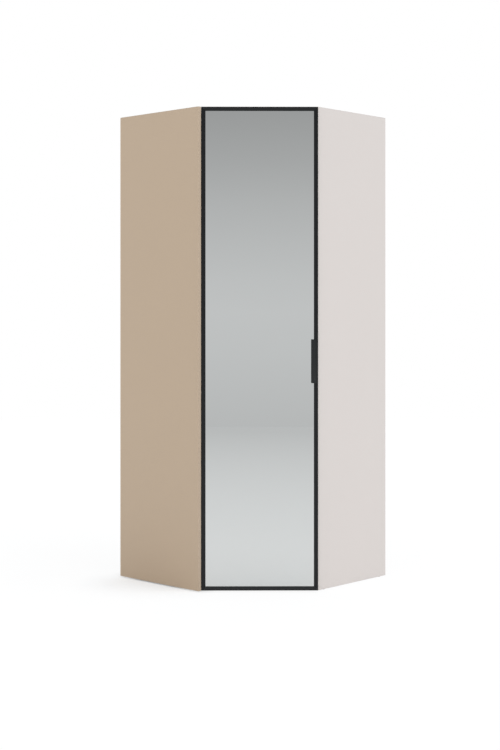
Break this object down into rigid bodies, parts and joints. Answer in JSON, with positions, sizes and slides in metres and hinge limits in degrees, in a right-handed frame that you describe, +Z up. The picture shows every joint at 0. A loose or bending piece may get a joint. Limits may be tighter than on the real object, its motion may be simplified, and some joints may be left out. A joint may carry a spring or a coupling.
{
  "type": "corner wardrobe",
  "caption": "Tall five-sided corner wardrobe with a beige end panel on the left, a black-framed full-height mirror door, an edge pull, a hat shelf and a hanging rail inside.",
  "frame": {"origin": "on the floor, under the middle of the object's box", "axes": "+Z up; -Y is the way the door faces; +Y towards the room's corner; +X to the right as seen from the front"},
  "size_m": [1.2728, 1.0294, 2.2],
  "materials": {
    "beige_board": "satin beige laminate on chipboard",
    "pale_board": "satin pale greige laminate on chipboard",
    "thin_board": "painted hardboard",
    "black_aluminium": "satin black anodised",
    "black_handle": "satin black powder coat",
    "mirror_glass": "polished silvered glass",
    "brown_board": "raw hardboard",
    "black_rubber": "matte",
    "bright_steel": "zinc plated",
    "zinc_casting": "nickel-plated die casting",
    "grey_plastic": "moulded",
    "clear_silicone": "clear soft dot"
  },
  "bodies": {
    "carcass": {"left_end_panel": "beige_board", "left_side_panel": "pale_board", "right_side_panel": "pale_board", "left_back_panel": "thin_board", "right_back_panel": "thin_board", "corner_upright_left": "pale_board", "corner_upright_right": "pale_board", "bottom_panel": "pale_board", "top_panel": "pale_board", "hat_shelf": "pale_board", "magnet_bottom": "bright_steel", "magnet_top": "bright_steel", "shelf_support_left_front": "grey_plastic", "shelf_support_left_rear": "grey_plastic", "shelf_support_right_front": "grey_plastic", "shelf_support_right_rear": "grey_plastic", "shelf_support_corner_left": "grey_plastic", "shelf_support_corner_right": "grey_plastic", "glide_left_front": "grey_plastic", "glide_left_rear": "grey_plastic", "glide_right_front": "grey_plastic", "glide_right_rear": "grey_plastic", "glide_corner": "grey_plastic", "hanging_rail": "bright_steel", "rail_bracket_left": "bright_steel", "rail_bracket_right": "bright_steel", "hinge_arm_1": "zinc_casting", "hinge_arm_2": "zinc_casting", "hinge_arm_3": "zinc_casting", "hinge_arm_4": "zinc_casting", "hinge_plate_1": "zinc_casting", "hinge_plate_2": "zinc_casting", "hinge_plate_3": "zinc_casting", "hinge_plate_4": "zinc_casting"},
    "door": {"frame_hinge_stile": "black_aluminium", "frame_handle_stile": "black_aluminium", "frame_top_rail": "black_aluminium", "frame_bottom_rail": "black_aluminium", "corner_connector_bottom_left": "zinc_casting", "corner_connector_bottom_right": "zinc_casting", "corner_connector_top_left": "zinc_casting", "corner_connector_top_right": "zinc_casting", "mirror": "mirror_glass", "mirror_backing": "brown_board", "mirror_gasket": "black_rubber", "hinge_block_1": "zinc_casting", "hinge_block_2": "zinc_casting", "hinge_block_3": "zinc_casting", "hinge_block_4": "zinc_casting", "hinge_pin_1": "bright_steel", "hinge_pin_2": "bright_steel", "hinge_pin_3": "bright_steel", "hinge_pin_4": "bright_steel", "strike_bottom": "bright_steel", "strike_top": "bright_steel", "bumper_bottom": "clear_silicone", "bumper_top": "clear_silicone", "handle": "black_handle"}
  },
  "joints": [
    {"name": "door_swing", "type": "hinge", "parent": "carcass", "child": "door", "pos_m": [-0.24794, -0.4959, 1.1], "axis": [0, 0, -1], "range_deg": [0, 95]}
  ]
}
